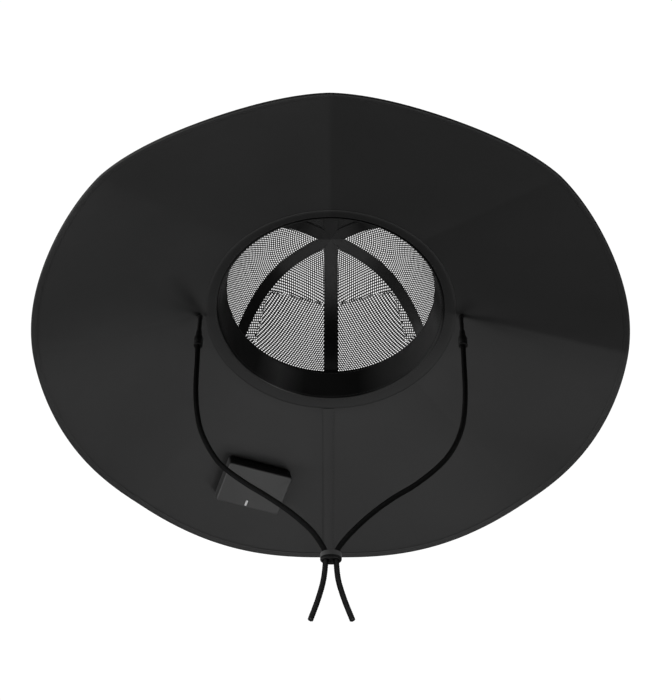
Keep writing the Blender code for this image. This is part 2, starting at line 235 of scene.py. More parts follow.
class Tree:
    def __init__(self, name):
        self.material = bpy.data.materials.new(name)
        self.material.use_nodes = True
        self.nodes = self.material.node_tree.nodes
        self.links = self.material.node_tree.links
        self.shader = self.nodes["Principled BSDF"].inputs

    def add(self, kind, inputs=None, **settings):
        node = self.nodes.new("ShaderNode" + kind)
        for key, value in settings.items():
            setattr(node, key, value)
        for key, value in (inputs or {}).items():
            self.feed(node.inputs[key], value)
        return node

    def feed(self, socket, value):
        if isinstance(value, bpy.types.NodeSocket):
            self.links.new(value, socket)
        else:
            socket.default_value = value

    def maths(self, operation, first, second=0.0, third=0.0):
        return self.add("Math", {0: first, 1: second, 2: third}, operation=operation).outputs[0]

    def mix(self, share, first, second):
        return self.add("Mix", {0: share, 6: first, 7: second}, data_type="RGBA").outputs[2]

    def noise(self, scale, detail=2.0, roughness=0.5):
        place = self.add("TexCoord").outputs["Object"]
        return self.add("TexNoise", {"Vector": place, "Scale": scale, "Detail": detail,
                                     "Roughness": roughness}).outputs["Fac"]

    def rangeOf(self, value, low, high, fromLow=0.3, fromHigh=0.7):
        return self.add("MapRange", {0: value, 1: fromLow, 2: fromHigh, 3: low, 4: high}).outputs[0]

    # Painted light and shade: the colour times each point's shade
    def withPaintedShade(self, tone):
        shade = self.add("Attribute", attribute_name="shade").outputs["Fac"]
        return self.add("VectorMath", {0: tone, "Scale": shade}, operation="SCALE").outputs[0]

    def bump(self, height, strength, distance, before=None):
        inputs = {"Height": height, "Strength": strength, "Distance": distance}
        if before is not None:
            inputs["Normal"] = before
        return self.add("Bump", inputs).outputs[0]


# A grey from one number, or a colour from three
def colour(tone):
    return (*tone, 1) if isinstance(tone, tuple) else (tone, tone, tone, 1)


# Woven cloth: threads from the cloth's own places, slow changes of tone, and a soft shine; the colour is scaled
# by each point's painted light and shade
def clothMaterial(look):
    tree = Tree(look["name"])
    place = tree.add("Attribute", attribute_name="clothPlace").outputs["Vector"]
    axes = tree.add("SeparateXYZ", {0: place}).outputs
    perThread = turnFull / look["pitch"]
    weave = tree.maths("SINE", tree.maths("MULTIPLY_ADD", axes[0], look["twill"] * perThread,
                                          tree.maths("MULTIPLY", axes[1], perThread)))
    if look["twill"] == 0:
        weave = tree.maths("MULTIPLY", tree.maths("SINE", tree.maths("MULTIPLY", axes[0], perThread)), weave)
    mottle = tree.rangeOf(tree.noise(look["mottle"], 3), 0, 1)
    tone = tree.mix(mottle, colour(look["dark"]), colour(look["light"]))
    threads = tree.mix(tree.rangeOf(weave, 0, look["threadTone"], -1, 1), tone, colour(0.0))
    tree.feed(tree.shader["Base Color"], tree.withPaintedShade(threads))
    smoothest = look["rough"] - look["roughSpread"] / 2
    rough = tree.maths("MULTIPLY_ADD", tree.noise(look["fine"], 2), look["roughSpread"], smoothest)
    tree.feed(tree.shader["Roughness"], rough)
    tree.shader["Specular IOR Level"].default_value = look["specular"]
    creases = tree.bump(tree.noise(look["creaseScale"], 4), look["creases"], look["creaseHeight"])
    tree.feed(tree.shader["Normal"], tree.bump(weave, look["weave"], look["threadHeight"], creases))
    return tree.material


# Moulded plastic: fine spark grain, slow changes of tone, rough patches from handling; the colour is scaled by
# each point's painted light and shade
def plasticMaterial(look):
    tree = Tree(look["name"])
    wear = tree.noise(look["wearScale"], 4, 0.6)
    tone = tree.mix(tree.rangeOf(wear, 0, 1), colour(look["dark"]), colour(look["light"]))
    tree.feed(tree.shader["Base Color"], tree.withPaintedShade(tone))
    spread = look["roughSpread"]
    tree.feed(tree.shader["Roughness"], tree.rangeOf(wear, look["rough"] - spread, look["rough"] + spread))
    tree.shader["Specular IOR Level"].default_value = look["specular"]
    tree.feed(tree.shader["Normal"], tree.bump(tree.noise(look["grainScale"], 2), look["grain"],
                                              look["grainHeight"]))
    return tree.material


# What most cloths and plastics share; a tone is a grey from one number or a colour from three
cloth = {
    "pitch": 0.8, "twill": 0, "threadTone": 0.12, "weave": 0.15, "threadHeight": 0.0002,
    "mottle": 14, "fine": 900, "rough": 0.5, "roughSpread": 0.06, "specular": 0.5,
    "creaseScale": 9, "creases": 0.12, "creaseHeight": 0.002,
}
plastic = {
    "rough": 0.5, "roughSpread": 0.06, "specular": 0.5, "wearScale": 60, "grainScale": 2200, "grain": 0.35,
    "grainHeight": 0.0001,
}

brimCloth = clothMaterial({**cloth, "name": "brim_cloth", "dark": 0.024, "light": 0.028})
collarCloth = clothMaterial({**cloth, "name": "collar", "dark": 0.009, "light": 0.012, "rough": 0.58})
tapeCloth = clothMaterial({
    **cloth, "name": "tape", "dark": 0.027, "light": 0.034, "pitch": 0.9, "twill": 1, "threadTone": 0.2,
    "mottle": 20, "rough": 0.55, "roughSpread": 0.08, "specular": 0.25, "creaseScale": 30, "creases": 0.1,
    "weave": 0.3,
})
bandSatin = clothMaterial({
    **cloth, "name": "band_satin", "dark": 0.017, "light": 0.023, "pitch": 0.6, "twill": 2, "threadTone": 0.1,
    "mottle": 20, "rough": 0.36, "specular": 0.32, "creaseScale": 25, "creases": 0.15, "weave": 0.1,
})
netThread = clothMaterial({
    **cloth, "name": "net", "dark": 0.010, "light": 0.014, "pitch": 0.5, "twill": 1, "threadTone": 0.2,
    "mottle": 60, "rough": 0.55, "roughSpread": 0.1, "specular": 0.4, "creaseScale": 60, "creases": 0.1,
    "weave": 0.2,
})
stitchThread = plasticMaterial({
    **plastic, "name": "stitch_thread", "dark": 0.016, "light": 0.024, "wearScale": 300, "grainScale": 2500,
    "grain": 0.4,
})
cordBraid = plasticMaterial({
    **plastic, "name": "cord", "dark": 0.010, "light": 0.017, "rough": 0.6, "specular": 0.15,
    "wearScale": 400, "grainScale": 3000, "grain": 0.3,
})
cordCut = plasticMaterial({
    **plastic, "name": "cord_cut", "dark": 0.18, "light": 0.35, "rough": 0.6, "wearScale": 900,
    "grainScale": 3000, "grain": 0.5,
})
clipPlastic = plasticMaterial({
    **plastic, "name": "clip", "dark": 0.02, "light": 0.03, "rough": 0.55, "specular": 0.3,
})
lockPlastic = plasticMaterial({**plastic, "name": "lock", "dark": 0.16, "light": 0.22, "rough": 0.4})
lockPaintedShadeUnder = plasticMaterial({**plastic, "name": "lock_under_painted_shade", "dark": 0.008, "light": 0.012, "specular": 0.3})
boxPlastic = plasticMaterial({
    **plastic, "name": "box_shell", "dark": 0.055, "light": 0.064, "wearScale": 40, "grainScale": 1800,
    "grain": 0.3,
})
windowPlastic = plasticMaterial({
    **plastic, "name": "indicator", "dark": 0.85, "light": 0.95, "rough": 0.3, "wearScale": 200,
    "grainScale": 1800, "grain": 0.1,
})
panelSheet = plasticMaterial({
    **plastic, "name": "panel_sheet", "dark": (0.007, 0.008, 0.010), "light": (0.011, 0.012, 0.015),
    "rough": 0.35, "wearScale": 30, "grainScale": 900, "grain": 0.2,
})
solarCell = plasticMaterial({
    **plastic, "name": "solar_cell", "dark": (0.008, 0.012, 0.030), "light": (0.014, 0.022, 0.055),
    "rough": 0.22, "specular": 0.6, "wearScale": 120, "grainScale": 500, "grain": 0.15,
})
ribbonMetal = plasticMaterial({
    **plastic, "name": "solar_ribbon", "dark": 0.30, "light": 0.42, "rough": 0.35, "specular": 0.8,
    "wearScale": 300, "grainScale": 2000, "grain": 0.3,
})
print("materials made")


# Main sizes of the crown and the brim, as in the CAD

crown = {
    "halfWidth": 87.65, "halfLength": 94.7, "height": 86.8, "sidePower": 3.3, "topPower": 1.3,
    "gores": 6, "firstSeam": math.pi / 2,
}
brim = {
    "halfWidth": 223.2, "halfLength": 239.8, "thick": 1.8, "sideDroop": 45.8, "frontDroop": 48.2,
    "backDroop": 43.3, "facets": 8, "foldDrop": 4.8, "foldDraw": 1.8, "foldRoundness": 1.4, "rise": 1.3,
    "around": 720, "across": 44, "besideAt": 8.0, "besideWidth": 6.0, "besidePaintedShade": 0.3,
    "wrinkle": 0.22, "calmEnds": 0.6, "waves": ((0.5, 5, 3, 1), (0.35, 9, -5, 0), (0.3, 17, 9, 2)),
    "clothRun": (150, 135),   # cloth to one radian round the hat, and from the opening to the edge
    # painted light and shade: how light the cloth of each facet is painted, from the right side round the back,
    # as each facet lies to the light
    "paintedShades": (1.22, 1.02, 0.94, 0.92, 1.27, 1.26, 0.92, 0.70), "shadeBlend": 1.2,
}


def brimAt(turn, share):
    turn, share = np.broadcast_arrays(np.asarray(turn, float), np.asarray(share, float))
    side, front = np.cos(turn), np.sin(turn)
    wave = np.abs(np.sin(brim["facets"] / 2 * turn)) ** brim["foldRoundness"]
    draw = brim["foldDraw"] * wave
    endDroop = np.where(front > 0, brim["backDroop"], brim["frontDroop"])
    droop = brim["sideDroop"] * side ** 2 + endDroop * front ** 2
    inner = stacked(crown["halfWidth"] * side, crown["halfLength"] * front, brim["rise"])
    outer = stacked((brim["halfWidth"] - draw) * side, (brim["halfLength"] - draw) * front,
                    -droop - brim["foldDrop"] * wave)
    return inner + (outer - inner) * share[..., None]


# The ways along the edge, outward and up from the cloth
def brimFrame(turn, share):
    step = 1e-3
    along = brimAt(turn + step, share) - brimAt(turn - step, share)
    outward = unit(brimAt(turn, share + step) - brimAt(turn, share - step))
    up = unit(np.cross(outward, along))
    return np.cross(up, outward), outward, up


def brimPoint(turn, share, lift):
    return brimAt(turn, share) + brimFrame(turn, share)[2] * np.asarray(lift)[..., None]


def brimWidth(turn):
    return np.linalg.norm(brimAt(turn, 1.0) - brimAt(turn, 0.0), axis=-1)


# Cords

cord = {
    # painted shade: the grooves between the strands are painted darker
    "diameter": 4.0, "strands": 8, "braidTurn": 15.0, "relief": 0.4, "groovePaintedShade": 0.9, "ringStep": 0.5,
    "cutDepth": 0.5, "cutWall": 0.55, "cutCore": 0.98, "strandRound": 0.7, "crossing": 3,
    # painted light: the side turned to the front is painted paler, first from the lock's lower side down, then
    # above it; painted shade darkens its edges
    "sides": 32, "edgePaintedShade": 0.1, "frontPaintedLight": (7.0, 2.2), "paintedLightBelow": -247.0,
}
cordRoutes = {
    "left": ((-100.2, -37.6), (-99.9, -57), (-99.5, -79), (-97.7, -103), (-93.4, -125.6), (-85.6, -145.3),
             (-76.5, -160.3), (-60.7, -175.7), (-43.4, -189.6), (-27.4, -203.8), (-13.2, -219.7),
             (-5.4, -233.6), (-2.95, -241), (-2.95, -248.5), (-4.3, -263.9), (-7.8, -280.3), (-12.6, -297.1)),
    "right": ((100.2, -37.6), (99.9, -57.5), (99.6, -79.4), (98.2, -102.8), (94.8, -124.4), (87.6, -144.3),
              (77.2, -160.4), (60.5, -177.8), (43.7, -191.1), (29.0, -205.1), (15.9, -220.6),
              (7.2, -233.6), (4.35, -241), (4.35, -248.5), (5.7, -264), (9.7, -280.7), (14.9, -297.3)),
}


# Two families of strands wind round the cord and pass over and under each other
def braidLift(spin, run, look):
    twist = turnFull * run / look["braidTurn"]
    half = look["strands"] / 2
    first, second = np.sin(half * (spin + twist)), np.sin(half * (spin - twist))
    over = 0.5 + 0.5 * np.sign(first * second) * np.minimum(1, look["crossing"] * np.abs(first * second))
    rounded = look["strandRound"]
    return np.abs(first) ** rounded * over + np.abs(second) ** rounded * (1 - over) - 1


def braidMesh(line, look):
    run = lengthsAlong(line)
    places = np.linspace(0, run[-1], int(run[-1] / look["ringStep"]) + 1)
    centre = readAt(places, run, line)
    along = unit(np.gradient(centre, axis=0))
    spin = stepsRound(look["sides"])
    lift = braidLift(spin, places[:, None], look)
    radius = look["diameter"] / 2 + look["relief"] * lift
    paintedLight = np.where(centre[:, 2:] < look["paintedLightBelow"], *look["frontPaintedLight"])
    front = np.maximum(0, -np.cos(spin)) ** 4
    # painted shade in the grooves and at the edges, painted light on the side turned to the front
    shade = (1 + look["groovePaintedShade"] * lift) * (look["edgePaintedShade"] + paintedLight * front)
    # the cut end: a rim of braid round a core that lies a little deeper
    rim = radius[-1:] - look["cutWall"]
    radius = np.concatenate([radius, rim, rim * look["cutCore"]])
    shade = np.concatenate([shade, shade[-1:], shade[-1:]])
    centre = np.concatenate([centre, centre[-1:], centre[-1:] - along[-1:] * look["cutDepth"]])
    along = np.concatenate([along, along[-1:], along[-1:]])
    side = np.array([0.0, 1.0, 0.0])
    rings = (centre[:, None] + side * (radius * np.cos(spin))[..., None]
             + np.cross(along, side)[:, None] * (radius * np.sin(spin))[..., None])
    return ringMesh(rings, False, sharpFrom=70, shade=shade)


# Turned pieces on the cord: a profile of (radius, height) pairs from the foot up
def turnedMesh(profile, middle, sides=40, shade=1.0):
    profile = np.array(profile, float)
    spin = stepsRound(sides)
    rings = stacked(middle[0] + profile[:, :1] * np.cos(spin), profile[:, :1] * np.sin(spin),
                    middle[1] + profile[:, 1:])
    return ringMesh(rings, False, sharpFrom=40, shade=shade)


connector = {
    "length": 16.2, "gap": 0.3, "neck": 2.3, "wide": 3.5, "footPaintedShade": 0.1,
    # share of the swell beyond the neck, and share of the length from the top
    "profile": ((0.72, 1.0), (0.95, 0.985), (1.0, 0.95), (1.0, 0.92), (0.84, 0.91), (0.84, 0.88), (1.0, 0.87),
                (1.0, 0.84), (0.84, 0.83), (0.84, 0.80), (1.0, 0.79), (1.0, 0.62), (0.98, 0.55), (0.92, 0.48),
                (0.55, 0.40), (0.2, 0.33), (0.06, 0.28), (0.0, 0.15), (-0.05, 0.03), (-0.3, 0.0)),
}
# The cord's end between brim and connector: a knot at the brim and a sleeve over the rest. ends says
# how the sleeve starts, as shares of its radius and heights.
stub = {
    "gap": 0.3, "radius": 2.0, "sleeve": 1.75, "ends": ((0.6, 0.0), (0.9, 0.05)), "plain": 0.3, "ribs": 26,
    "ribDepth": 0.06, "sides": 28, "knotBelow": 1.3, "knotTurns": 2, "knotHeight": 1.612,
    "knotThread": 0.5225, "knotWave": 0.12,
}


def addConnector(side):
    x, z = cordRoutes[side][0]
    foot = z + connector["gap"]
    swell = connector["wide"] - connector["neck"]
    profile = [(connector["neck"] + swell * out, connector["length"] * (1 - down))
               for out, down in connector["profile"]]
    # painted shade: the foot, which faces down, is painted dark
    shade = np.ones((len(profile), 1))
    shade[:2] = connector["footPaintedShade"]
    name = "cord_connector_" + side
    mesh = turnedMesh(profile, (x, foot), shade=shade)
    return addPiece(name + "_turned", mesh, clipPlastic, "clip", name), foot + connector["length"]


# Turns of cord round the sleeve, under the brim
def knotMesh(middle, look):
    turn = np.linspace(0, look["knotTurns"] * turnFull, 97)
    height = np.linspace(-0.5, 0.5, len(turn)) * look["knotHeight"]
    radius = look["radius"] - look["knotThread"] + look["knotWave"] * np.sin(3 * turn)
    line = stacked(middle[0] + radius * np.cos(turn), radius * np.sin(turn), middle[1] + height)
    outward = unit((line - (middle[0], 0, 0)) * (1, 1, 0))
    other = np.cross(unit(np.gradient(line, axis=0)), outward)
    spin = stepsRound(10)[:, None]
    cut = outward[:, None] * np.cos(spin) + other[:, None] * np.sin(spin)
    return ringMesh(line[:, None] + look["knotThread"] * cut, False, sharpFrom=70)


def addStub(side, low):
    x = cordRoutes[side][0][0]
    share = (abs(x) + stub["radius"] - crown["halfWidth"]) / (brim["halfWidth"] - crown["halfWidth"])
    high = brimAt(0.0 if x > 0 else math.pi, share)[2] - stub["gap"]
    length = high - low - stub["gap"]
    foot = [(stub["sleeve"] * wide, up) for wide, up in stub["ends"]]
    ribbed = [(stub["sleeve"] * (1 + stub["ribDepth"] * (math.cos(a * stub["ribs"]) - 1)),
               stub["plain"] + (length - 2 * stub["plain"]) * a) for a in np.linspace(0, 1, 14)]
    head = [(radius, length - up) for radius, up in foot[::-1]]
    sleeve = turnedMesh(foot + ribbed + head, (x, low + stub["gap"]), stub["sides"])
    name = "cord_stub_" + side
    return [addPiece(name + "_sleeve", sleeve, clipPlastic, "cord", name),
            addPiece(name + "_knot", knotMesh((x, high - stub["knotBelow"]), stub), cordBraid, "cord")]


# The lock: an oval block with a hole for each cord, built as two halves round their holes
lock = {
    "half": (7.35, 4.7), "height": 6.8, "middle": (0.7, -243.9), "spacing": 7.3, "hole": 2.4, "edge": 1.1,
    "lip": 0.35, "lipRound": 0.1, "around": 96, "paleFrom": -1.2,
}


# How far the wall lies from a hole's axis, or the plane between the halves where that is nearer
def lockReach(hole, dx, dy, inset, look):
    a, b = look["half"][0] - inset, look["half"][1] - inset
    p, q, r = (dx / a) ** 2 + (dy / b) ** 2, 2 * hole * dx / a ** 2, (hole / a) ** 2 - 1
    tiny, far = 1e-6, 1e9
    toPlane = np.where(dx * np.sign(hole) < -tiny, -hole / np.where(np.abs(dx) < tiny, tiny, dx), far)
    return np.minimum((-q + np.sqrt(q * q - 4 * p * r)) / (2 * p), toPlane)


def addLock(look):
    half = look["height"] / 2
    wall = roundedWall(-half, half, look["edge"])
    wall.insert(len(wall) // 2, (0.0, look["paleFrom"]))
    lips = [(look["lip"], half), (look["lipRound"], half - look["lipRound"]), (0.0, half - look["lip"])]
    lips += [(wider, -z) for wider, z in lips[::-1]]
    section = len(wall) + len(lips)
    quads = ringFaces(look["around"], section, True)
    column = np.tile(np.arange(section), look["around"])
    dx, dy = np.cos(stepsRound(look["around"])), np.sin(stepsRound(look["around"]))
    parts, columns = [], []
    for hole in (-look["spacing"] / 2, look["spacing"] / 2):
        reaches = [(lockReach(hole, dx, dy, inset, look), z) for inset, z in wall]
        reaches += [(look["hole"] + wider, z) for wider, z in lips]
        rings = np.stack([stacked(hole + reach * dx, reach * dy, z) for reach, z in reaches], 1)
        points = rings.reshape(-1, 3)
        between = (np.abs(points[quads][:, :, 0]) < 1e-5).all(1)   # faces in the plane between the halves
        parts.append((points, quads[~between][:, ::-1]))
        columns.append(column[~between])
    points, faces = joined(parts)
    mesh = quadMesh(points + (look["middle"][0], 0, look["middle"][1]), faces, sharpFrom=40)
    made = addPiece("cord_lock_moulded", mesh, lockPlastic, "clip", "cord_lock")
    mesh.materials.append(lockPaintedShadeUnder)
    # painted shade: the lower rounding of the wall and the underside, where the lock faces down, take the dark
    # colour
    under = np.isin(np.concatenate(columns), (*range(len(wall) // 2), section - 2, section - 1))
    mesh.polygons.foreach_set("material_index", under.astype(np.int32))
    return made


def addCords():
    lockPiece = addLock(lock)
    for side, route in cordRoutes.items():
        line = smoothLine([(x, 0.0, z) for x, z in route])
        name = "braided_cord_" + side
        mesh = braidMesh(line, cord)
        made = addPiece(name, mesh, cordBraid, "cord", "chin_cord_" + side)
        mesh.materials.append(cordCut)
        for face in mesh.polygons[len(mesh.polygons) - (cord["sides"] // 2 - 1):]:
            face.material_index = 1
        sleeve, top = addConnector(side)
        onCord = [sleeve, *addStub(side, top)]
        if side == "left":
            onCord.append(lockPiece)
        lengthsAlong(line)[-1] * 0.001
        print(name, "made,", round(lengthsAlong(line)[-1]), "mm")


addCords()
print("cords, connectors and lock made")


# Crown

def crownAt(turn, rise):
    share = np.cos(rise) ** (2 / crown["sidePower"])
    height = np.sin(rise) ** (2 / crown["topPower"])
    return stacked(crown["halfWidth"] * share * np.cos(turn), crown["halfLength"] * share * np.sin(turn),
                   crown["height"] * height)


def crownOut(turn, rise):
    step = 1e-3
    rise = np.clip(rise, step, math.pi / 2 - 2 * step)
    across = crownAt(turn + step, rise) - crownAt(turn - step, rise)
    upward = crownAt(turn, rise + step) - crownAt(turn, rise - step)
    return unit(np.cross(across, upward))


def crownPoint(turn, rise, lift):
    return crownAt(turn, rise) + crownOut(turn, rise) * np.asarray(lift)[..., None]


def riseAtHeight(height):
    return np.arcsin((np.maximum(height, 0) / crown["height"]) ** (crown["topPower"] / 2))


def riseAtRadius(radius):
    return np.arccos(np.minimum(1, radius / crown["halfWidth"]) ** (crown["sidePower"] / 2))


def crownReach(turn, rise):
    share = np.cos(rise) ** (2 / crown["sidePower"])
    return share * np.hypot(crown["halfWidth"] * np.sin(turn), crown["halfLength"] * np.cos(turn))


# Bands round the foot of the crown

bands = {
    # the shades below say how light the cloth is painted, every 15 degrees from the right side round the back:
    # painted shade where the sweatband lies in shadow, painted sheen where its satin catches the light
    "sweatband": {"low": 0.0, "high": 24.5, "inner": -1.8, "thick": 1.75, "ripple": 0.25,
                  "material": bandSatin, "slot": "band_satin",
                  "paintedShades": (0.02, 3.0, 2.8, 1.8, 1.5, 0.3, 0.9, 1.4, 6.5, 0.7, 0.1, 0.02,
                             0.02, 2.2, 1.4, 0.9, 1.2, 0.8, 0.8, 0.7, 0.6, 0.5, 0.2, 0.2)},
    "crown_band": {"low": 3.4, "high": 24.5, "inner": 2.45, "thick": 1.2, "ripple": 0.12,
                   "material": brimCloth, "slot": "brim_cloth", "paintedShades": (1.0,)},
    "around": 384, "up": 11, "waves": ((0.5, 11, 0, 0.7), (0.3, 23, 0.15, 0), (0.2, 41, -0.3, 0)),
    "stitch": {"pitch": 3.0, "length": 2.4, "thread": 0.4, "proud": 0.05}, "stitchIn": 1.6,
}


def addBand(name, look):
    turn = stepsRound(bands["around"])[:, None]
    across, through = stripCut(bands["up"], 0.3).T
    height = (look["low"] + look["high"]) / 2 + (look["high"] - look["low"]) / 2 * across
    wave = look["ripple"] * waves(turn, height, bands["waves"]) * (1 - np.abs(across) ** 3)
    lift = look["inner"] + look["thick"] * through + np.minimum(0, wave) * (1 - through)
    rings = crownPoint(turn, riseAtHeight(height), lift)
    # painted shade and sheen round the band
    shade = np.interp(turn, stepsRound(len(look["paintedShades"])), look["paintedShades"], period=turnFull)
    laid = stacked(crown["halfWidth"] * turn, height, lift)
    addPiece(name + "_cloth", ringMesh(rings, True, laid, shade=shade), look["material"], look["slot"], name)
    side = -1 if name == "sweatband" else 1   # the sweatband's stitches show on its inner face
    face = look["inner"] + (look["thick"] if side > 0 else 0)
    turn = np.linspace(0, turnFull, bands["around"] + 1)
    rows = []
    for height in (look["low"] + bands["stitchIn"], look["high"] - bands["stitchIn"]):
        rise = riseAtHeight(height)
        rows.append(stitchRow(crownPoint(turn, rise, face), crownOut(turn, rise) * side, bands["stitch"]))
    addStitches(name, rows, look["slot"])


addBand("sweatband", bands["sweatband"])
addBand("crown_band", bands["crown_band"])
print("bands made")


# Seam tapes inside the crown, meeting at the top as a mitred star

tapes = {
    # painted light and shade: how light each tape's cloth is painted at these shares of its way from the foot to
    # the top, darker on the steep wall where shade falls
    "shadeAt": (0.1, 0.2, 0.3, 0.4, 0.5, 0.6, 0.68, 0.74, 0.8, 0.9, 0.97),
    "paintedShades": ((1.3, 1.1, 1.5, 0.42, 0.2, 0.2, 0.8, 1.5, 1.9, 2.3, 2.3),
               (0.35, 0.35, 0.4, 0.4, 0.35, 0.5, 0.35, 0.5, 1.8, 1.6, 1.9),
               (1, 1, 1, 0.6, 1, 0.84, 0.9, 0.9, 1.1, 0.3, 0.95),
               (1, 1, 1, 1, 1, 1, 1, 1, 1, 1, 1),
               (0.9, 0.8, 0.4, 0.55, 0.8, 1, 0.6, 0.7, 1.5, 0.15, 1.1),
               (1.0, 2.3, 3.2, 1.25, 0.7, 0.28, 0.05, 0.2, 0.65, 1.9, 2.0)),
    "width": 11.5, "thick": 0.8, "gap": 0.03, "tuck": 12.0, "tip": 0.2, "stations": 90, "across": 9,
    "stitch": {"pitch": 2.8, "length": 2.2, "thread": 0.36, "proud": 0.03}, "stitchIn": 1.5,
    "stitchRoom": 0.6,   # the stitches stop where the tape is too narrow for them
}


def addSeamTape(number):
    middle = crown["firstSeam"] + turnFull * number / crown["gores"]
    rise = np.linspace(riseAtHeight(tapes["tuck"]), riseAtRadius(tapes["tip"]), tapes["stations"])
    reach = crownReach(middle, rise)
    half = np.minimum(tapes["width"] / 2 / reach, math.pi / crown["gores"]) - tapes["gap"] / 2 / reach
    across, through = stripCut(tapes["across"], 0.25, 0.06).T
    lift = tapes["thick"] * through
    rings = crownPoint(middle + half[:, None] * across, rise[:, None], lift)
    run = lengthsAlong(crownAt(middle, rise))
    laid = stacked(run[:, None], (half * reach)[:, None] * across, lift)
    # painted light and shade along the tape
    shade = np.interp(rise / (math.pi / 2), tapes["shadeAt"], tapes["paintedShades"][number])
    name = f"seam_tape_{number + 1}"
    addPiece(name + "_cloth", ringMesh(rings, False, laid, shade=shade[:, None]), tapeCloth, "tape", name)
    shown = half * reach > tapes["stitchIn"] + tapes["stitchRoom"]
    rows = []
    for side in (-1, 1):
        turn = (middle + side * np.maximum(0, half - tapes["stitchIn"] / reach))[shown]
        line = crownPoint(turn, rise[shown], 0)
        rows.append(stitchRow(line, -crownOut(turn, rise[shown]), tapes["stitch"]))
    addStitches(name, rows, "tape")


for number in range(crown["gores"]):
    addSeamTape(number)
print("seam tapes made")


# Net: every gore is a knitted net of open cells, held by a narrow hem along its seams

net = {
    "low": 4.0, "lift": 1.45, "thick": 0.14, "knot": 0.06, "hem": 1.4, "hemLift": (1.2, 2.1),
    # what the hem leaves free at the seam, the radius where it ends, and what the cells leave free
    "hemGap": 0.22, "hemTop": 2.5, "room": 0.4, "steps": 400, "hemSteps": 80,
    # lower part: leaning lines with thin rows. lines is how many there are to a mm across and how
    # fast that falls off, lean the same going up from the middle height.
    "lines": (0.444, 0.00155), "lean": (0.209, 0.00155), "leanMiddle": 40.0, "rowPitch": 1.7,
    "lineThread": 0.54, "rowThread": 0.34, "lowEye": (0.97, 0.85),
    # upper part: bowed rows of staggered eyes; rows is how many there are to a mm going up from the
    # middle height, and how fast that grows
    "columnPitch": 2.0, "rows": (0.455, 0.002), "rowMiddle": 82.0, "rowBow": 0.005,
    "topThread": (0.36, 0.36), "topEye": (0.9, 0.55),
    "join": 84.3, "joinBend": 0.0072, "joinMiddle": -12.0, "overlap": 0.9,
    "stripFrom": 26.0, "stripLow": 30.0,   # a narrow strip of the upper kind beside the outer seam
    # shade is how light the thread is painted
    "shade": 1.0,
}
# What differs on the gores at the sides and at the front
sideNet = {**net, "thick": 0.1, "join": 14.0, "joinBend": 0.0, "columnPitch": 2.15, "rows": (0.571, 0.0),
           "rowBow": 0.0, "topThread": (0.33, 0.38), "stripFrom": 999.0}
# painted light: the front gores' thread is painted twice as light
frontNet = {**net, "thick": 0.75, "stripFrom": 999.0, "lineThread": 0.62, "rowThread": 0.62,
            "topThread": (0.62, 0.62), "shade": 2.0}


# Places on a gore laid flat: x across from its middle, y up from the foot along the middle line
def goreMap(number):
    middle = crown["firstSeam"] + turnFull * (number + 0.5) / crown["gores"]
    rise = np.linspace(0.001, math.pi / 2 - 0.01, 600)
    run = lengthsAlong(crownAt(middle, rise))
    reach = crownReach(middle, rise)

    def place(flat, lift):
        height = np.interp(flat[..., 1], run, rise)
        turn = middle + flat[..., 0] / np.interp(flat[..., 1], run, reach)
        return crownPoint(turn, height, lift)

    def halfWidth(up):
        return np.interp(up, run, reach) * math.pi / crown["gores"]

    return place, halfWidth, run[-1]


# Cells of a net: corners on a bent grid, each with a six-sided eye. thread is the share of the
# cell that its thread fills, across and along; shape is how wide the eye is and how far up it is so.
cellCorners = np.array([(0, -1), (1, -1), (1, 1), (0, 1), (-1, 1), (-1, -1)])


def netCells(grid, keep, thread, shape):
    a, b, c, d = grid[:-1, :-1][keep], grid[1:, :-1][keep], grid[1:, 1:][keep], grid[:-1, 1:][keep]
    wide, straight = shape
    eyeCorners = np.where(cellCorners[:, :1] == 0, cellCorners, cellCorners * (wide, straight))

    def within(shares):
        u, v = (shares[None, :, 0, None] + 1) / 2, (shares[None, :, 1, None] + 1) / 2
        return (a[:, None] * (1 - u) * (1 - v) + b[:, None] * u * (1 - v)
                + c[:, None] * u * v + d[:, None] * (1 - u) * v)

    return within(cellCorners), within(eyeCorners * (1 - np.array(thread)))


def joinHeight(x, look):
    return look["join"] - look["joinBend"] * (x - look["joinMiddle"]) ** 2


# Leaning lines with thin rows for the gore's lower part
def lowGrid(half, look):
    fine = np.linspace(-1.5 * half, 1.5 * half, look["steps"])
    across = look["lines"][0] * fine - look["lines"][1] * fine ** 2
    ups = np.arange(look["low"] - 1, look["join"] + 4, look["rowPitch"])
    risen = ups - look["leanMiddle"]
    risen = look["lean"][0] * risen - look["lean"][1] * risen ** 2
    lines = np.arange(int(across[0]), int(across[-1]))
    return stacked(np.interp(lines[:, None] - risen, across, fine), ups)


# Bowed rows of staggered cells for its upper part
def highGrid(top, look):
    fine = np.linspace(0, top + 10, look["steps"])
    risen = fine - look["rowMiddle"]
    risen = look["rows"][0] * risen + look["rows"][1] * np.maximum(risen, 0) ** 2
    rows = np.arange(int(risen[0]), int(risen[-1]))
    columns = np.arange(-80, 80)
    x = look["columnPitch"] * (columns[:, None] + (rows - rows[0]) / 2 - len(rows) // 4)
    return stacked(x, np.interp(rows - look["rowBow"] * x ** 2, risen, fine))


# The narrow hem beside one of a gore's two seams: its points, faces and places on the cloth
def netHem(number, edge, look):
    rise = np.linspace(riseAtHeight(look["low"]), riseAtRadius(look["hemTop"]), look["hemSteps"])
    seam = crown["firstSeam"] + turnFull * (number + edge) / crown["gores"]
    side = 1 - 2 * edge
    wide, through = stripCut(4, 0.3).T
    across = look["hemGap"] + look["hem"] / 2 * (1 + wide)
    turn = seam + side * np.minimum(across / crownReach(seam, rise)[:, None], 0.5)
    lift = look["hemLift"][0] + (look["hemLift"][1] - look["hemLift"][0]) * through
    rings = crownPoint(turn, rise[:, None], lift)
    laid = stacked(across, lengthsAlong(rings[:, 0])[:, None], lift)
    return rings.reshape(-1, 3), ringFaces(*rings.shape[:2], False)[:, ::-side], laid.reshape(-1, 3)


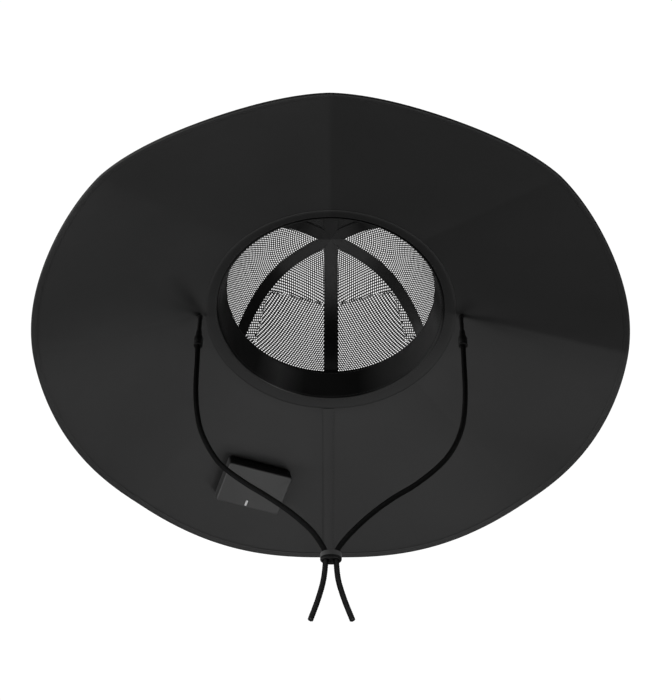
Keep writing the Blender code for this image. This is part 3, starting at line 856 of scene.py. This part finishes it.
def addNetPanel(number, look):
    place, halfWidth, top = goreMap(number)
    side = 1 if number % 2 == 0 else -1   # even gores lean towards their first seam

    def kept(grid, above):
        middle = (grid[:-1, :-1] + grid[1:, 1:]) / 2
        x, y = middle[..., 0], middle[..., 1]
        shared = look["overlap"] if above else 0
        strip = (x > look["stripFrom"] - shared) & (y > look["stripLow"])
        over = (y >= joinHeight(x, look) - shared) | strip
        inside = (np.abs(x) < halfWidth(y) - look["room"]) & (y > look["low"]) & (y < top - 1)
        return inside & (over == above)

    parts, laid = [], []
    low, high = lowGrid(float(halfWidth(0.0)) + 12, look), highGrid(top, look)
    for grid, above, thread, shape in ((low, False, (look["lineThread"], look["rowThread"]), look["lowEye"]),
                                       (high, True, look["topThread"], look["topEye"])):
        rim, eye = netCells(grid, kept(grid, above), thread, shape)
        rim, eye = rim * (side, 1), eye * (side, 1)
        lift, upper = look["lift"], look["lift"] + look["thick"]
        layers = [place(rim, lift - look["knot"]), place(eye, lift), place(eye, upper),
                  place(rim, upper + look["knot"])]
        cell = ringFaces(len(layers), len(cellCorners), False, ends=False)[:, ::-side]
        faces = repeated(cell, len(rim), len(layers) * len(cellCorners))
        parts.append((np.stack(layers, 1).reshape(-1, 3), faces))
        flat = np.concatenate([rim, eye, eye, rim], 1)
        laid.append(stacked(flat[..., 0], flat[..., 1], 0.0).reshape(-1, 3))
    for edge in (0, 1):
        points, faces, places = netHem(number, edge, look)
        parts.append((points, faces))
        laid.append(places)
    name = f"net_panel_{number + 1}"
    mesh = quadMesh(*joined(parts), np.concatenate(laid), 60, look["shade"])
    addPiece(name + "_knit", mesh, netThread, "net", name)
    return len(mesh.polygons) * 2


goreLooks = (net, sideNet, frontNet, frontNet, sideNet, net)   # from the left of the back, round the front
triangles = sum(addNetPanel(number, look) for number, look in enumerate(goreLooks))
print("net made,", triangles, "triangles")


# Brim

# Painted light and shade of each facet, blended over the folds
def facetPaintedShade(turn):
    degrees = np.degrees(np.asarray(turn, float)) % 360
    step = 360 / brim["facets"]
    paintedShades = np.array(brim["paintedShades"])
    number = np.floor(degrees / step).astype(int) % brim["facets"]
    within = degrees - number * step
    before = np.clip(0.5 - within / brim["shadeBlend"], 0, 0.5)
    after = np.clip(0.5 - (step - within) / brim["shadeBlend"], 0, 0.5)
    return (paintedShades[number] * (1 - before - after) + paintedShades[number - 1] * before
            + paintedShades[(number + 1) % brim["facets"]] * after)


# Small rises and dips of the cloth: slow waves, and puckers that run from the cord anchors
# dark says how strongly each pucker's run is painted with shadow
puckers = {
    "left": {"turn": 180, "share": 0.085, "lean": 65, "length": 60, "width": 6.2, "behind": 3, "depth": 0.6,
             "dark": 1.25},
    "right": {"turn": 0, "share": 0.085, "lean": -58, "length": 24, "width": 6.0, "behind": 3, "depth": 0.3,
              "dark": 1.0},
}


# Each pucker's share of its full depth at a place: it is deepest at the anchor
def puckerAt(look, turn, share):
    at = math.radians(look["turn"])
    spot, start = brimAt(turn, share), brimAt(at, look["share"])
    along, outward = brimFrame(at, look["share"])[:2]
    lean = math.radians(look["lean"])
    run = outward * math.cos(lean) + along * math.sin(lean)
    cross = outward * -math.sin(lean) + along * math.cos(lean)
    ahead, aside = (spot - start) @ run, (spot - start) @ cross
    reach = np.clip(ahead / look["length"], 0, 1)
    fade = np.where(ahead > 0, 1 - reach, np.exp(-(ahead / look["behind"]) ** 2))
    width = look["width"] * (0.5 + 0.7 * reach)   # it widens away from the anchor
    return fade * np.exp(-(aside / width) ** 2)


def brimWrinkle(turn, share):
    soft = np.sin(math.pi * np.clip(share, 0, 1)) ** brim["calmEnds"]
    value = brim["wrinkle"] * soft * waves(turn, share, brim["waves"])
    for look in puckers.values():
        value = value + look["depth"] * puckerAt(look, turn, share)
    return value


# Painted shadow along the puckers: the colour is darkened most near the anchors
def puckerPaintedShadow(turn, share):
    value = 1.0
    for look in puckers.values():
        value = value * (1 - look["dark"] * puckerAt(look, turn, share))
    return np.maximum(value, 0.02)


# Painted shade: behind the opening the cloth is painted darker beside the collar
def paintedShadeBesideCollar(turn, share):
    away = (share * brimWidth(turn) - brim["besideAt"]) / brim["besideWidth"]
    return 1 - brim["besidePaintedShade"] * np.sqrt(np.maximum(0, np.sin(turn))) * np.exp(-away ** 2)


def addBrim():
    turn = stepsRound(brim["around"])[:, None]
    across, through = stripCut(brim["across"], 0.3).T
    share = (across + 1) / 2
    lift = brim["thick"] * through + brimWrinkle(turn, share)
    laid = stacked(brim["clothRun"][0] * turn, brim["clothRun"][1] * share, lift)
    # painted light and shade: facet by facet, painted shadow along the puckers and painted shade beside the
    # collar
    shade = facetPaintedShade(turn) * puckerPaintedShadow(turn, share) * paintedShadeBesideCollar(turn, share)
    mesh = ringMesh(brimPoint(turn, share, lift), True, laid, 60, shade)
    addPiece("brim_sheet", mesh, brimCloth, "brim_cloth", "brim")


addBrim()
print("brim made")


# Tapes on the brim: binding round its edge, collar round the opening, strip over the back seam.
# clothRun is the length of cloth to one radian round the hat, stitchIn how far the stitches lie from
# the tape's edges.

trims = {
    "binding": {"depth": 4.0, "out": 0.9, "thick": 0.16, "thinEdge": 0.03, "gap": 0.02, "backPaintedLight": 0.2,
                "taper": 1.5, "innerOut": 0.05, "innerRound": 0.35, "clothRun": 232, "stitchIn": 1.4},
    # the shades say how light the collar is painted at these lengths from the opening: painted light and shade,
    # lightest at its outer edge
    "collar": {"inset": 0.2, "width": 9.4, "thick": 0.6, "gap": 0.03, "thinEdge": 0.08, "thinShare": 0.3,
               "shadeAt": (0.0, 1.0, 6.0, 9.6), "paintedShades": (1.3, 0.9, 1.1, 2.0), "clothRun": 93,
               "stitchIn": (1.3, 1.6), "stitchSunk": 0.1},
    # here the shades run across the strip, from its left edge at -1 to its right edge at 1: painted shade along
    # its edges, painted light just inside its left edge
    "seam": {"width": 10.8, "thick": 0.3, "shift": -2.0, "gap": 0.02, "thinEdge": 0.08, "thinShare": 0.35,
             "ends": 0.3, "stitchIn": 1.6,
             "shadeAt": (-1.0, -0.85, -0.65, -0.3, 0.3, 0.7, 0.85, 1.0),
             "paintedShades": (0.6, 0.7, 1.25, 1.1, 1.0, 0.75, 0.6, 0.75)},
    "stitch": {"pitch": 3.0, "length": 2.3, "thread": 0.36, "proud": 0.0},
    "around": 720,
}

# A row of stitches on the brim's cloth; side is 1 on top and -1 below
def brimStitches(turn, share, lift, side):
    line = brimPoint(turn, share, lift + brimWrinkle(turn, share))
    return stitchRow(line, brimFrame(turn, share)[2] * side, trims["stitch"])


# A tape folded over the brim's edge: flush, thin at its inner edges, full at the fold
def addBinding(look):
    turn = stepsRound(trims["around"])[:, None]
    low, high = -look["gap"], brim["thick"] + look["gap"]
    middle, reach = (low + high) / 2, (high - low) / 2
    deep, full = -look["depth"], look["taper"] - look["depth"]
    spin = np.linspace(-math.pi / 2, math.pi / 2, 7)
    bend, over = reach * look["innerRound"], reach + look["thick"]
    inside = [(look["innerOut"] + bend * (math.cos(a) - 1), middle + reach * math.sin(a)) for a in spin]
    outside = [(look["out"] * math.cos(a), middle + over * math.sin(a)) for a in spin[::-1]]
    cut = np.array([(deep, low), *inside, (deep, high), (deep, high + look["thinEdge"]),
                    (full, high + look["thick"]), *outside, (full, low - look["thick"]),
                    (deep, low - look["thinEdge"])])
    share = 1 + cut[:, 0] / brimWidth(turn)
    rings = brimPoint(turn, share, cut[:, 1] + brimWrinkle(turn, share))
    laid = stacked(look["clothRun"] * turn, cut[:, 0], cut[:, 1])
    # painted light: the binding is painted lighter round the back
    shade = facetPaintedShade(turn) * (1 + look["backPaintedLight"] * np.maximum(0, np.sin(turn)))
    mesh = ringMesh(rings[:, ::-1], True, laid[:, ::-1], 60, shade)
    addPiece("brim_binding_tape", mesh, brimCloth, "tape", "brim_binding")
    turn = np.linspace(0, turnFull, trims["around"] + 1)
    share = 1 - (look["depth"] - look["stitchIn"]) / brimWidth(turn)
    rows = [brimStitches(turn, share, high + look["thick"], 1),
            brimStitches(turn, share, low - look["thick"], -1)]
    addStitches("brim_binding", rows, "tape")


# How thick a tape under the brim is over its cut, from 0 at the brim's side to 1 at its far side: it
# thins towards its outer edge, or towards both edges
def thinned(across, through, look, depth, bothEdges):
    near = np.abs(across) if bothEdges else across
    thin = np.clip((near - 1 + look["thinShare"]) / look["thinShare"], 0, 1)
    return (1 - through) * (1 - (1 - look["thinEdge"] / depth) * thin ** 2)


def addCollar(look):
    turn = stepsRound(trims["around"])[:, None]
    across, through = stripCut(11, 0.1, 0.02).T
    length = look["inset"] + look["width"] * (across + 1) / 2
    share = length / brimWidth(turn)
    depth = look["thick"] - look["gap"]
    lift = -look["gap"] - depth * thinned(across, through, look, depth, False) + brimWrinkle(turn, share)
    laid = stacked(look["clothRun"] * turn, length, lift)
    # painted light and shade across the collar
    shade = facetPaintedShade(turn) * np.interp(length, look["shadeAt"], look["paintedShades"])
    mesh = ringMesh(brimPoint(turn, share, lift), True, laid, shade=shade)
    addPiece("collar_tape_cloth", mesh, collarCloth, "tape", "collar_tape")
    turn = np.linspace(0, turnFull, trims["around"] + 1)
    width = brimWidth(turn)
    first, last = look["inset"] + look["stitchIn"][0], look["inset"] + look["width"] - look["stitchIn"][1]
    rows = [brimStitches(turn, first / width, -look["thick"], -1),
            brimStitches(turn, last / width, look["stitchSunk"] - look["thick"], -1)]
    addStitches("collar_tape", rows, "tape")


def addBackSeam(look):
    width = float(brimWidth(math.pi / 2))
    collar, binding = trims["collar"], trims["binding"]
    start = (collar["inset"] + collar["width"] + look["ends"]) / width
    share = np.linspace(start, 1 - (binding["depth"] + look["ends"]) / width, 70)
    reach = brimAt(0.0, share)[:, 0]
    across, through = stripCut(13, 0.1, 0.02).T
    x = look["shift"] - look["width"] / 2 * across
    turn = np.arccos(x / reach[:, None])
    thick = look["thick"] * thinned(across, through, look, look["thick"], True)
    lift = -look["gap"] - thick + brimWrinkle(turn, share[:, None])
    rings = brimPoint(turn, share[:, None], lift)
    laid = stacked(width * share[:, None], x, lift)
    # painted shade along the strip's edges, painted light inside them
    shade = np.interp(-across, look["shadeAt"], look["paintedShades"]) * facetPaintedShade(turn)
    mesh = ringMesh(rings[:, ::-1], False, laid[:, ::-1], shade=shade[:, ::-1])
    addPiece("back_seam_tape_cloth", mesh, brimCloth, "tape", "back_seam_tape")
    aside = look["width"] / 2 - look["stitchIn"]
    addStitches("back_seam", [brimStitches(np.arccos(x / reach), share, -look["gap"] - look["thick"], -1)
                              for x in (look["shift"] - aside, look["shift"] + aside)], "tape")


addBinding(trims["binding"])
addCollar(trims["collar"])
addBackSeam(trims["seam"])
print("brim tapes made")


# Power box, moulded, with a parting groove round its walls and a small window in its lower face

powerBox = {
    "turn": 112.95, "share": 0.5759, "gap": 0.45, "half": (27.0, 18.25), "depth": 12.0, "corner": 2.2,
    "edge": 1.2, "groove": 0.3, "grooveHeight": 1.5, "grooveFloor": 0.3, "window": (0.9, 2.5),
    "windowAt": (1.9, 14.25), "windowDepth": 0.8, "windowGap": 0.3, "windowEdge": 0.2, "windowCorner": 0.6,
    "wellCorner": 0.5, "wellLip": 0.1,
}


def addPowerBox(look):
    turn = math.radians(look["turn"])
    along, outward, up = brimFrame(turn, look["share"])
    half, groove = look["depth"] / 2, look["groove"]
    middle = brimAt(turn, look["share"]) - up * (look["gap"] + half)

    def placed(rings):   # own axes: along the edge, outward, and down away from the brim
        rings = np.array(rings)
        return middle + rings[..., :1] * along + rings[..., 1:2] * outward - rings[..., 2:] * up

    wall = roundedWall(-half, half, look["edge"], 5)
    low, high = -look["grooveHeight"], look["grooveFloor"] - look["grooveHeight"]
    wall[5:5] = [(0, low - groove), (groove, low), (groove, high), (0, high + groove)]
    rings = [roundedRing(look["half"], look["corner"], z, inset) for inset, z in wall]
    well = [size + look["windowGap"] for size in look["window"]]
    rings += [roundedRing(well, look["wellCorner"], z, 0, look["windowAt"])
              for z in (half, half - look["wellLip"], half - look["windowDepth"] - look["wellLip"])]
    mesh = ringMesh(placed(rings), False, sharpFrom=35)
    addPiece("power_box_moulded", mesh, boxPlastic, "box_shell", "power_box")
    wall = roundedWall(half - look["windowDepth"], half, look["windowEdge"])
    rings = [roundedRing(look["window"], look["windowCorner"], z, inset, look["windowAt"])
             for inset, z in wall]
    mesh = ringMesh(placed(rings), False, sharpFrom=40)
    addPiece("indicator_lens", mesh, windowPlastic, "indicator", "indicator_window")


addPowerBox(powerBox)
print("power box made")


# Solar panels: a laminated sheet on each facet, rows of raised cells and two ribbons on each cell

panel = {
    "lift": 0.3, "thick": 0.75, "fromOpening": 24.0, "fromEdge": 12.0, "fromFold": 4.0, "across": 33,
    "along": 17, "border": 4.0, "rows": 4, "cellWidth": 25.0, "cellGap": 1.6, "cellThick": 0.18,
    "cellSunk": 0.05, "corner": 0.09, "ribbon": 1.1, "ribbonThick": 0.12, "ribbonAt": (0.3, 0.7), "cellPoints": 5,
}


# A thin pad that follows its facet, open below: turn and share are a grid of places on the brim
def pad(turn, share, low, high):
    turn, share = np.broadcast_arrays(turn, share)
    rows, columns = turn.shape
    index = np.arange(rows * columns).reshape(rows, columns)
    rim = np.concatenate([index[0], index[1:, -1], index[-1, -2::-1], index[-2:0:-1, 0]])
    foot = brimPoint(turn.ravel()[rim], share.ravel()[rim], low)
    below = rows * columns + np.arange(len(rim))
    wall = stacked(rim, np.roll(rim, -1), np.roll(below, -1), below)
    points = np.concatenate([brimPoint(turn, share, high).reshape(-1, 3), foot])
    return points, np.concatenate([gridFaces(rows, columns), wall])[:, ::-1]


# One cell, with its corners clipped
def solarCellPad(turns, shares, base, look):
    turn, share = (grid.copy() for grid in np.broadcast_arrays(turns, shares))
    corners = np.ix_((0, -1), (0, -1))
    half = look["cellPoints"] // 2
    for grid in (turn, share):
        grid[corners] += (grid[half, half] - grid[corners]) * look["corner"]
    return pad(turn, share, base - look["cellSunk"], base + look["cellThick"])


def addSolarPanel(number, look):
    step = turnFull / brim["facets"]
    middle = step * (number + 0.5)
    width = float(brimWidth(middle))
    low, high = look["fromOpening"] / width, 1 - look["fromEdge"] / width
    base = brim["thick"] + look["lift"]
    top = base + look["thick"]

    def reachAt(share):
        return np.linalg.norm(brimAt(middle, share)[..., :2], axis=-1)

    share = np.linspace(low, high, look["along"])[:, None]
    half = step / 2 - look["fromFold"] / reachAt(share)
    points, faces = pad(middle + half * np.linspace(-1, 1, look["across"]), share, base, top)
    name = f"solar_panel_{number + 1}"
    addPiece(name + "_sheet", quadMesh(points, faces, points, 40), panelSheet, "solar_cell", name)
    cells, ribbons = [], []
    gap, edge = look["cellGap"] / 2, look["border"] / width
    rows = np.linspace(low + edge, high - edge, look["rows"] + 1)
    for start, end in zip(rows[:-1] + gap / width, rows[1:] - gap / width):
        shares = np.linspace(start, end, look["cellPoints"])[:, None]
        reach = reachAt((start + end) / 2)
        usable = step * reachAt(start) - 2 * (look["fromFold"] + look["border"])
        edges = np.linspace(-usable / 2, usable / 2, max(1, int(usable // look["cellWidth"])) + 1)
        for left, right in zip(middle + (edges[:-1] + gap) / reach, middle + (edges[1:] - gap) / reach):
            cells.append(solarCellPad(np.linspace(left, right, look["cellPoints"]), shares, top, look))
            for where in look["ribbonAt"]:
                at, thin = left + (right - left) * where, look["ribbon"] / 2 / reach
                turns = np.array([at - thin, at + thin])
                ribbons.append(pad(turns, shares, top, top + look["cellThick"] + look["ribbonThick"]))
    for ending, parts, material in (("_cells", cells, solarCell), ("_ribbons", ribbons, ribbonMetal)):
        points, faces = joined(parts)
        addPiece(name + ending, quadMesh(points, faces, points, 30), material, "solar_cell")


for number in range(brim["facets"]):
    addSolarPanel(number, panel)
print("solar panels made")


# Floor, world and lights

studio = {
    "floorHeight": -2.4, "floorTone": 0.74, "floorHalf": 12, "floorSquares": 24, "floorRough": 0.8,
    "background": 1.05, "overhead": 0.37, "underneath": 0.0,
    "reach": 2.1,   # how far the lights stand from the hat, in metres
    # each light: the way it stands from the hat, its size in metres and its power
    "lights": (
        {"name": "belowLeft", "way": (-0.34, 0.0, -0.94), "size": 0.7, "power": 3.5},
        {"name": "belowRight", "way": (0.34, 0.0, -0.94), "size": 0.7, "power": 6.2},
        {"name": "lowLeft", "way": (-0.64, 0.0, -0.77), "size": 0.7, "power": 7.0},
        {"name": "lowRightBack", "way": (0.45, 0.45, -0.77), "size": 0.7, "power": 3.9},
        {"name": "lowBack", "way": (0.0, 0.64, -0.77), "size": 0.7, "power": 0.6},
        {"name": "left", "way": (-0.87, 0.0, -0.5), "size": 0.7, "power": 8.0},
        {"name": "aboveLeft", "way": (-0.69, 0.0, 0.72), "size": 0.7, "power": 6.0},
    ),
}


def addFloor(look):
    across = np.linspace(-look["floorHalf"], look["floorHalf"], look["floorSquares"] + 1) * 1000
    points = stacked(across[:, None], across, look["floorHeight"] * 1000).reshape(-1, 3)
    tree = Tree("floor_paint")
    light, lighter = colour(look["floorTone"]), colour(look["floorTone"] * 1.04)
    tree.feed(tree.shader["Base Color"], tree.mix(tree.rangeOf(tree.noise(3, 4), 0, 1), light, lighter))
    tree.shader["Roughness"].default_value = look["floorRough"]
    mesh = quadMesh(points, gridFaces(len(across), len(across)))
    mesh.materials.append(tree.material)
    floor = bpy.data.objects.new("floor", mesh)
    bpy.context.scene.collection.objects.link(floor)
    floor.visible_diffuse = floor.visible_glossy = False   # it gives the hat no light from below


# The camera sees a white backdrop; light comes from the upper half of the sky only
def addWorld(look):
    world = bpy.data.worlds.new("studio")
    world.use_nodes = True
    bpy.context.scene.world = world
    tree = world.node_tree

    def add(kind):
        return tree.nodes.new("ShaderNode" + kind)

    shade, seen = tree.nodes["Background"], add("Background")
    seen.inputs["Strength"].default_value = look["background"]
    shade.inputs["Color"].default_value = seen.inputs["Color"].default_value = (1, 1, 1, 1)
    way, axes, slope = add("TexCoord"), add("SeparateXYZ"), add("MapRange")
    tree.links.new(way.outputs["Generated"], axes.inputs[0])
    tree.links.new(axes.outputs["Z"], slope.inputs[0])
    for socket, value in ((1, 0.0), (2, 0.25), (3, look["underneath"]), (4, look["overhead"])):
        slope.inputs[socket].default_value = value
    tree.links.new(slope.outputs[0], shade.inputs["Strength"])
    path, pick = add("LightPath"), add("MixShader")
    tree.links.new(path.outputs["Is Camera Ray"], pick.inputs[0])
    tree.links.new(shade.outputs[0], pick.inputs[1])
    tree.links.new(seen.outputs[0], pick.inputs[2])
    tree.links.new(pick.outputs[0], tree.nodes["World Output"].inputs["Surface"])


def addLight(look):
    data = bpy.data.lights.new(look["name"], "AREA")
    data.size = look["size"]
    data.energy = look["power"]
    made = bpy.data.objects.new(look["name"], data)
    way = Vector(look["way"]).normalized()
    made.location = way * studio["reach"]
    made.rotation_euler = (-way).to_track_quat("-Z", "Y").to_euler()
    made.visible_camera = False
    bpy.context.scene.collection.objects.link(made)


addFloor(studio)
addWorld(studio)
for look in studio["lights"]:
    addLight(look)
bpy.context.scene.view_settings.view_transform = "Standard"
print("studio set")
